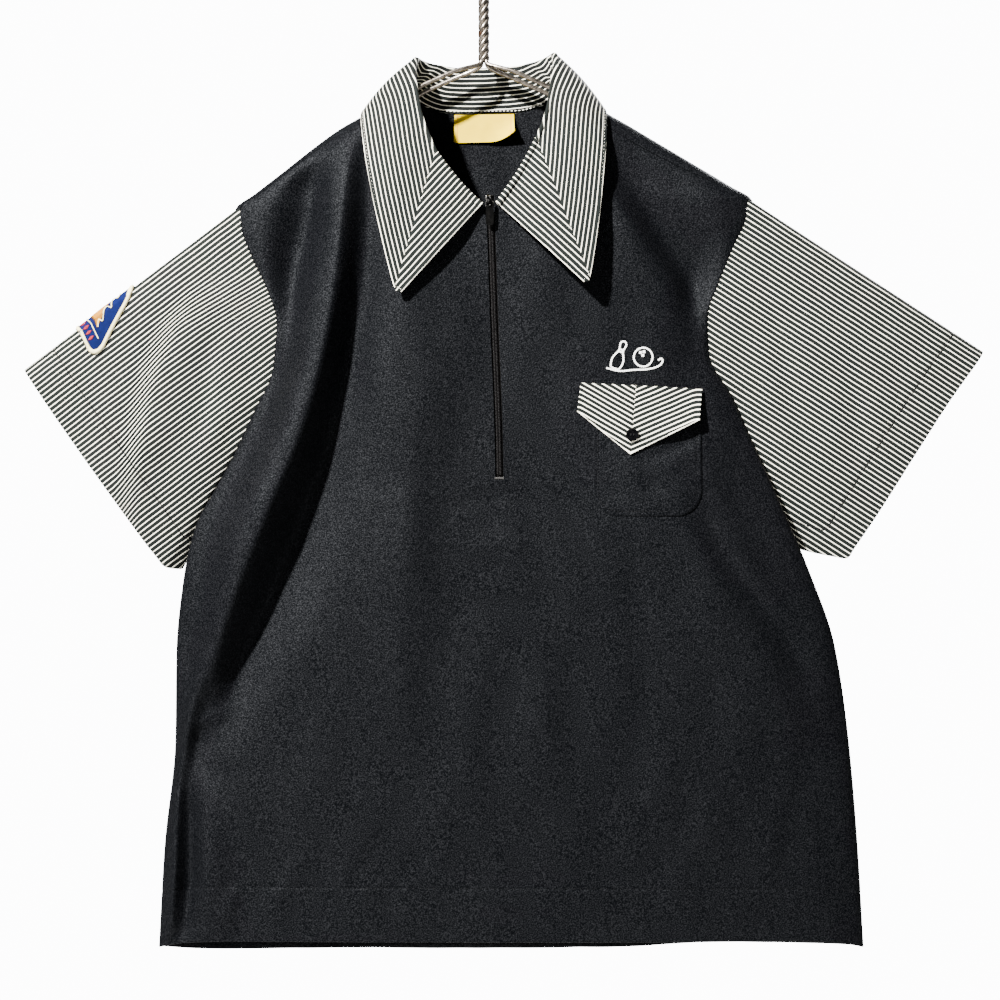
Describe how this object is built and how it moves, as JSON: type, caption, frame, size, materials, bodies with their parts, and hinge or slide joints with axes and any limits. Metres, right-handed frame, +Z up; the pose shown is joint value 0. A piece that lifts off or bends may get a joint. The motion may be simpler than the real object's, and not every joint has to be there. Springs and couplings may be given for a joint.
{
  "type": "bowling shirt on a wire hanger",
  "caption": "Short-sleeved half-zip bowling shirt with a folded, pointed collar, striped sleeves and a flapped chest pocket, hung on a hanger of twisted wire.",
  "frame": {"origin": "the point inside the top of the hanger's hook that bears on the rail", "axes": "+Z up; X across the shirt, +X to the right of someone who looks at its front; -Y towards them, so the front faces -Y"},
  "size_m": [0.845, 0.0918, 0.9038],
  "materials": {
    "black_knit": "fine double knit, matt",
    "striped_knit": "fine double knit in narrow dark and ivory stripes",
    "striped_knit_on_the_bias": "the same, with its stripes along the collar's lower edge",
    "button_black": "glossy",
    "zip_tape": "woven, matt",
    "zip_coil": "satin",
    "slider_metal": "bright",
    "pull_tab_black": "glossy enamel",
    "label_cream": "woven satin",
    "patch_blue": "embroidered twill",
    "hanger_steel": "drawn wire"
  },
  "bodies": {
    "shirt": {"front": "black_knit", "back": "black_knit", "pocket": "black_knit", "sleeve_left": "striped_knit", "sleeve_right": "striped_knit", "collar": "striped_knit", "collar_point_left": "striped_knit_on_the_bias", "collar_point_right": "striped_knit_on_the_bias", "pocket_flap_left": "striped_knit", "pocket_flap_right": "striped_knit", "button": "button_black", "zip_tape": "zip_tape", "zip_chain": "zip_coil", "zip_slider": "slider_metal", "neck_label": "label_cream", "sleeve_patch": "patch_blue", "hanger_wire_left": "hanger_steel", "hanger_wire_right": "hanger_steel"},
    "zip_pull": {"zip_pull_tab": "pull_tab_black"}
  },
  "joints": [
    {"name": "zip_pull_hinge", "type": "hinge", "parent": "shirt", "child": "zip_pull", "pos_m": [0.0052, -0.0344, -0.245], "axis": [-1, 0, 0], "range_deg": [0, 150]}
  ]
}
